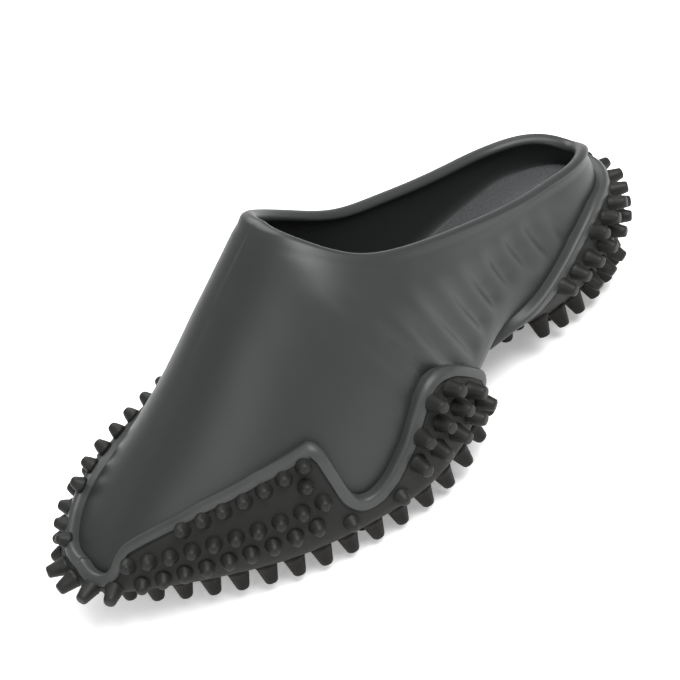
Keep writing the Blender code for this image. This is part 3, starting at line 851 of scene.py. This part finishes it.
def dense_columns(ends, top):
    """Columns at even steps along the top line, closer where the toe and heel turn."""
    curve = rounded_line(top)
    curve = curve[(curve[:, 0] >= ends[0]) & (curve[:, 0] <= ends[-1])]
    x = np.concatenate([[ends[0]], curve[:, 0], [ends[-1]]])
    z = np.interp(x, curve[:, 0], curve[:, 1])
    turned = np.sqrt(np.clip(1 - ((x - LENGTH / 2) / (LENGTH / 2)) ** 2, LEAST_TURN, 1))
    walked = np.concatenate([[0], np.cumsum(np.hypot(np.diff(x) / turned[1:], np.diff(z)))])
    count = int(walked[-1] / COLUMN_STEP)
    return np.interp(np.linspace(0, walked[-1], count + 1), walked, x)


def edge_finder(sides, at_toe):
    """Finds the distance to the nearest free edge, on either side of the outsole."""
    lines = []
    for rows in sides:
        for line in (rows[-1], rows[:, 0 if at_toe else -1]):
            for t in BETWEEN:
                lines.append(line[:-1] + (line[1:] - line[:-1]) * t)
            lines.append(line[-1:])
    points = np.concatenate(lines)
    finder = KDTree(len(points))
    for k, p in enumerate(points):
        finder.insert(p, k)
    finder.balance()
    return finder


def even_ways(sides, at_toe):
    """Outward directions of both sides' rows, evened out where the sides meet."""
    ways = [facing(rows, OUTSOLE) for rows in sides]
    if at_toe:
        ways = [ways[0], ways[1][:, ::-1]]
    else:
        ways = [ways[0][:, ::-1], ways[1]]
    loop = np.concatenate([ways[0], ways[1][:, 1:]], axis=1)
    middle = ways[0].shape[1] - 1
    for _ in range(WAY_EVENING):
        loop[:, middle, 1] = 0
        loop[:, 1:-1] = (loop[:, :-2] + 2 * loop[:, 1:-1] + loop[:, 2:]) / 4
    loop[:, middle, 1] = 0
    loop /= np.linalg.norm(loop, axis=-1, keepdims=True)
    a = loop[:, :middle + 1]
    b = loop[:, middle:]
    return (a, b[:, ::-1]) if at_toe else (a[:, ::-1], b)


def outsole_skin(ends, grow, top, at_toe):
    """An outsole's outside with its raised border, and its edges down to the foam."""
    down = math.radians(-90)
    columns = dense_columns(ends, top[1])

    def top_line(side):
        curve = rounded_line(top[side])
        return np.interp(columns, curve[:, 0], curve[:, 1])

    def rows_for(side):
        line = top_line(side)
        x = grow(columns, OUTSOLE)
        edge = angle_for(x, side, line, OUTSOLE)
        rows = [spine(x, side, OUTSOLE)]
        share = np.linspace(0, 1, OUTSOLE_ROWS) ** ROW_CROWD
        p, n = outline(x, side, OUTSOLE)
        core = p - n * CORE
        turn = down + (edge - down) * share[:, None]
        way = n[None] * np.cos(turn)[..., None] + np.array([0, 0, 1.0]) * np.sin(turn)[..., None]
        rows.extend(reach(np.broadcast_to(core, way.shape), way, OUTSOLE))
        return np.array(rows)

    skin = Skin()
    sides = pair(rows_for, not at_toe, at_toe)
    finder = edge_finder(sides, at_toe)
    for rows, n in zip(sides, even_ways(sides, at_toe)):
        far = np.array([finder.find(p)[2] for p in rows.reshape(-1, 3)]).reshape(rows.shape[:2])
        rise = BORDER_RISE * (1 - step(BORDER - BORDER_SOFT[0], BORDER + BORDER_SOFT[1], far))
        inward = 1 - np.clip(far / EDGE_ROUND, 0, 1)
        rounded = EDGE_ROUND * (1 - np.sqrt(np.clip(1 - inward**2, 0, 1)))
        skin_rows = rows + n * (rise - EDGE_DROP * rounded)[..., None]
        a = skin.sheet(skin_rows, edge=far)
        wall = np.array([skin_rows[-1] - n[-1] * EDGE_DEPTH * t for t in EDGE_STEPS])
        b = skin.sheet(wall, edge=np.zeros(wall.shape[:2]))
        skin.join(np.array([a[-1], b[0]]))
        end = 0 if at_toe else -1
        cap = skin_rows[:, end] - n[:, end] * EDGE_DEPTH
        c = skin.sheet(cap[None], edge=np.zeros((1, len(cap))))
        skin.join(np.array([a[:, end], c[0]]))
    return skin


rubber = Material("rubber", (0.0085, 0.0088, 0.0078), 0.5, 0.22)
edge = rubber.value("edge")
# A fine groove at the border's foot: sunk by a bump, and darkened with painted shade
seam_groove_and_shade = edge.bell(BORDER + 0.25, 0.55) ** 0.6
border = edge.ramp(BORDER + 0.2, BORDER - 0.2)
# The border is mixed towards a paler grey: a painted highlight where its bevel catches the light
rubber.mix(border, (0.040, 0.042, 0.042))
rubber.mix(rubber.noise(30.0).ramp(0.4, 0.8) * 0.5, (0.0080, 0.0082, 0.0072))
# Painted shade: the groove is mixed towards near black
rubber.mix(seam_groove_and_shade * 0.85, (0.002, 0.002, 0.002))
rubber.bump(rubber.noise(700.0, 2.0), 0.00006, 0.5)
rubber.bump(seam_groove_and_shade * -1.0, 0.0006, 0.8)
rubber_look = rubber.finish(rubber.noise(40.0) * 0.10 + 0.56 - border * 0.22)


def outsole_piece(name, node, columns, grow, top, at_toe):
    item = outsole_skin(columns, grow, top, at_toe).piece(name, rubber_look)
    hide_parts(node)
    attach(item, "root")
    return item


outsole_piece("forefoot_shell", "outsole_forefoot", FORE_COLUMNS, grow_fore, FORE_TOP, True)
outsole_piece("heel_shell", "outsole_heel", HEEL_COLUMNS, grow_heel, HEEL_TOP, False)

# Studs.
# Pressed in one with the rubber: low round bumps on the wings, long cones along the edges
# and under the sole. Each kind is one turned shape placed by a geometry-node group.
STUD_SIDES = 18
FORE_FIELD = (134.0, 262.0)     # where the floor studs begin and end, by x
HEEL_FIELD = (17.0, 86.0)
# Kind: share of the height and of the taper for each ring, from foot to tip
STUD_RINGS = {
    "bump": ((-0.25, 1.0), (0.0, 1.06), (0.12, 0.94), (0.35, 0.74), (0.6, 0.48), (0.8, 0.24),
             (0.93, -0.05), (0.98, -0.45), (1.0, -0.9)),
    "cone": ((-0.2, 1.0), (0.0, 1.08), (0.06, 0.94), (0.3, 0.68), (0.6, 0.38), (0.88, 0.10),
             (0.96, -0.06), (1.0, -0.35), (1.0, -0.9)),
}


def stud_shape(name, kind):
    """A turned stud along +Z with its foot at the origin, in metres."""
    _, foot, tip, height = STUDS[kind]
    rings = STUD_RINGS["bump" if kind == "bump" else "cone"]
    points = []
    faces = []
    for along, wide in rings:
        radius = tip + (foot - tip) * wide if wide > 0 else tip * (1 + wide)
        for k in range(STUD_SIDES):
            angle = 2 * math.pi * k / STUD_SIDES
            points.append((radius * math.cos(angle) * MM, radius * math.sin(angle) * MM,
                           along * height * MM))
    for row in range(len(rings) - 1):
        for k in range(STUD_SIDES):
            a = row * STUD_SIDES + k
            b = row * STUD_SIDES + (k + 1) % STUD_SIDES
            faces.append((a, b, b + STUD_SIDES, a + STUD_SIDES))
    faces.append(tuple(reversed(range(STUD_SIDES))))
    last_ring = (len(rings) - 1) * STUD_SIDES
    faces.append(tuple(last_ring + k for k in range(STUD_SIDES)))
    mesh = bpy.data.meshes.new(name)
    mesh.from_pydata(points, [], faces)
    mesh.polygons.foreach_set("use_smooth", [True] * len(faces))
    item = bpy.data.objects.new(name, mesh)
    bpy.context.scene.collection.objects.link(item)
    return item


def stud_group(shape, material):
    """Places a stud on every point, its axis along the point's way."""
    tree = bpy.data.node_groups.new("studs", "GeometryNodeTree")
    face = tree.interface
    face.new_socket("Points", in_out="INPUT", socket_type="NodeSocketGeometry")
    scale = face.new_socket("Size", in_out="INPUT", socket_type="NodeSocketFloat")
    scale.default_value = 1.0
    face.new_socket("Studs", in_out="OUTPUT", socket_type="NodeSocketGeometry")
    nodes = tree.nodes
    into = nodes.new("NodeGroupInput")
    out = nodes.new("NodeGroupOutput")
    info = nodes.new("GeometryNodeObjectInfo")
    info.inputs["Object"].default_value = shape
    info.inputs["As Instance"].default_value = True
    way = nodes.new("GeometryNodeInputNamedAttribute")
    way.data_type = "FLOAT_VECTOR"
    way.inputs["Name"].default_value = "way"
    align = nodes.new("FunctionNodeAlignRotationToVector")
    align.axis = "Z"
    place = nodes.new("GeometryNodeInstanceOnPoints")
    real = nodes.new("GeometryNodeRealizeInstances")
    paint_it = nodes.new("GeometryNodeSetMaterial")
    paint_it.inputs["Material"].default_value = material
    link = tree.links.new
    link(into.outputs["Points"], place.inputs["Points"])
    link(info.outputs["Geometry"], place.inputs["Instance"])
    link(way.outputs["Attribute"], align.inputs["Vector"])
    link(align.outputs["Rotation"], place.inputs["Rotation"])
    link(into.outputs["Size"], place.inputs["Scale"])
    link(place.outputs["Instances"], real.inputs["Geometry"])
    link(real.outputs["Geometry"], paint_it.inputs["Geometry"])
    link(paint_it.outputs["Geometry"], out.inputs["Studs"])
    return tree


def stud_piece(name, kind, found, material):
    """All the studs of one kind on one outsole, as a piece."""
    mesh = bpy.data.meshes.new(name)
    roots = (np.array([root for root, way in found]) + MOVE) * MM
    mesh.from_pydata(roots.tolist(), [], [])
    ways = np.array([way for root, way in found])
    store = mesh.attributes.new("way", "FLOAT_VECTOR", "POINT")
    store.data.foreach_set("vector", ways.astype(np.float32).ravel())
    item = bpy.data.objects.new(name, mesh)
    bpy.context.scene.collection.objects.link(item)
    shape = stud_shape(name + "_shape", kind)
    work = item.modifiers.new("studs", "NODES")
    work.node_group = stud_group(shape, material)
    view = bpy.context.evaluated_depsgraph_get()
    done = bpy.data.meshes.new_from_object(item.evaluated_get(view))
    item.modifiers.remove(work)
    item.data = done
    bpy.data.objects.remove(shape)
    done.polygons.foreach_set("use_smooth", [True] * len(done.polygons))
    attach(item, "root")
    return item


# Two copies of the one stud rubber. This darker one, its darkness painted shade, is for the cones along
# the edges and under the sole
shaded_stud_rubber = Material("shaded_stud_rubber", (0.0080, 0.0072, 0.0056), 0.5, 0.12)
shaded_stud_rubber.mix(shaded_stud_rubber.noise(60.0).ramp(0.4, 0.8) * 0.6, (0.0060, 0.0056, 0.0046))
shaded_stud_rubber.bump(shaded_stud_rubber.noise(700.0, 2.0), 0.00006, 0.5)
shaded_stud_look = shaded_stud_rubber.finish(shaded_stud_rubber.noise(50.0) * 0.15 + 0.42)
# This lighter one, its lightness a painted highlight, is for the bumps on the wings and the heel studs
highlit_stud_rubber = Material("highlit_stud_rubber", (0.0120, 0.0124, 0.0108), 0.5, 0.2)
highlit_stud_rubber.mix(highlit_stud_rubber.noise(60.0).ramp(0.4, 0.8) * 0.5, (0.0100, 0.0102, 0.0090))
highlit_stud_rubber.bump(highlit_stud_rubber.noise(700.0, 2.0), 0.00006, 0.5)
highlit_stud_look = highlit_stud_rubber.finish(highlit_stud_rubber.noise(50.0) * 0.15 + 0.42)
STUD_LOOKS = {"bump": highlit_stud_look, "heel": highlit_stud_look, "edge": shaded_stud_look, "spike": shaded_stud_look}

path = walk()
for place, rows, field in (("forefoot", FORE_STUDS, FORE_FIELD), ("heel", HEEL_STUDS, HEEL_FIELD)):
    found = []
    taken = []
    side_studs(found, taken, path, rows)
    floor_studs(found, taken, *field, FIELD_INSET)
    for kind in STUDS:
        here = [(root, way) for root, way, kind_here in found if kind_here == kind]
        if here:
            stud_piece(place + "_studs_" + kind, kind, here, STUD_LOOKS[kind])

# Studio.
# A pale seamless floor under broad soft lights; the camera's own angle stays the photo's.
FLOOR_HALF = 6.0
FLOOR_GLOW = 0.3
SKY_STRENGTH = 0.55
# Name, place, aim, size across in metres, power in watts
LIGHTS = (
    ("key", (-0.25, 0.55, 1.2), (0, 0, 0.05), 1.0, 25.0),
    ("fill", (1.2, 0.5, 0.7), (0, 0, 0.05), 0.9, 6.0),
    ("back", (-0.5, -1.0, 1.1), (0, 0, 0.06), 1.0, 14.0),
)


def area_light(name, place, aim, size, power):
    light = bpy.data.lights.new(name, "AREA")
    light.shape = "DISK"
    light.size = size
    light.energy = power
    item = bpy.data.objects.new(name, light)
    bpy.context.scene.collection.objects.link(item)
    item.location = place
    item.rotation_euler = (Vector(aim) - Vector(place)).to_track_quat("-Z", "Y").to_euler()


floor_mesh = bpy.data.meshes.new("floor")
floor_mesh.from_pydata([(-FLOOR_HALF, -FLOOR_HALF, 0), (FLOOR_HALF, -FLOOR_HALF, 0),
                        (FLOOR_HALF, FLOOR_HALF, 0), (-FLOOR_HALF, FLOOR_HALF, 0)],
                       [], [(0, 1, 2, 3)])
floor = bpy.data.objects.new("floor", floor_mesh)
bpy.context.scene.collection.objects.link(floor)
floor_look = Material("floor", (0.92, 0.92, 0.92), 0.9)
floor_look.shader.inputs["Emission Color"].default_value = (1.0, 1.0, 1.0, 1.0)
floor_look.shader.inputs["Emission Strength"].default_value = FLOOR_GLOW
floor_mesh.materials.append(floor_look.finish())

for light in LIGHTS:
    area_light(*light)
world = bpy.data.worlds.new("studio")
world.use_nodes = True
world.node_tree.nodes["Background"].inputs["Color"].default_value = (1.0, 1.0, 1.0, 1.0)
world.node_tree.nodes["Background"].inputs["Strength"].default_value = SKY_STRENGTH
bpy.context.scene.world = world
bpy.context.scene.view_settings.view_transform = "Standard"
